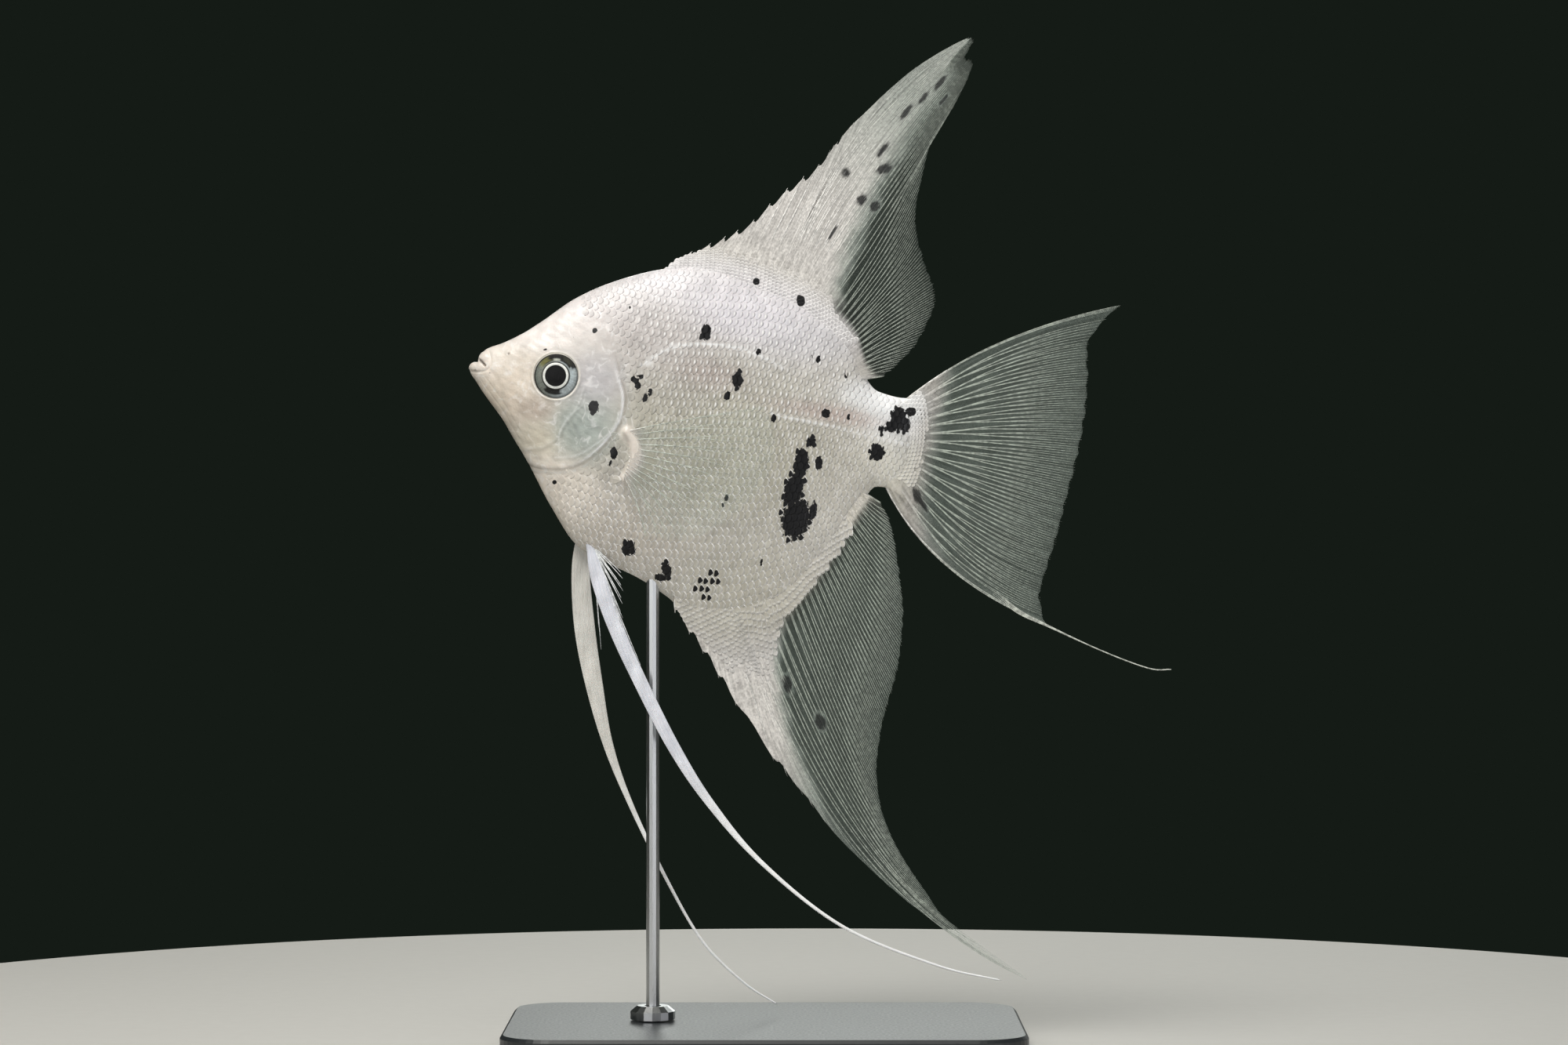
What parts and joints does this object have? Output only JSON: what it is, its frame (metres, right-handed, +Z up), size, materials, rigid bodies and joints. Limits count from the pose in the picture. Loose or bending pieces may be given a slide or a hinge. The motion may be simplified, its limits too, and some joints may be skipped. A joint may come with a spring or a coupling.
{
  "type": "freshwater angelfish",
  "caption": "Life-size still model of a freshwater angelfish, disc-shaped and flat-sided with tall swept fins and streamers, held nose up by a rod on a flat base.",
  "frame": {"origin": "on the floor, under the middle of the model's box", "axes": "+Z up, the fish looks along -X with its left flank at -Y, and its nose is tipped up ten degrees"},
  "size_m": [0.1255, 0.06, 0.1807],
  "materials": {
    "scaly_skin": "pearly silver-white fish skin under small scales, with black spots, slightly wet gloss",
    "fin_web": "thin translucent fin web with fine white rays",
    "eye": "clear glossy cornea over a silver and dark iris with a white-ringed black pupil",
    "stand_base": "satin dark grey acrylic with bevelled edges",
    "stand_metal": "satin drawn stainless steel"
  },
  "bodies": {
    "root": {"head": "scaly_skin", "trunk": "scaly_skin", "tail_stalk": "scaly_skin", "eye_left": "eye", "eye_right": "eye", "dorsal_fin": "fin_web", "anal_fin": "fin_web", "caudal_fin": "fin_web", "pectoral_fin_left": "fin_web", "pectoral_fin_right": "fin_web", "pelvic_fin_left": "fin_web", "pelvic_fin_right": "fin_web", "stand_base": "stand_base", "stand_collar": "stand_metal", "stand_rod": "stand_metal"}
  },
  "joints": []
}
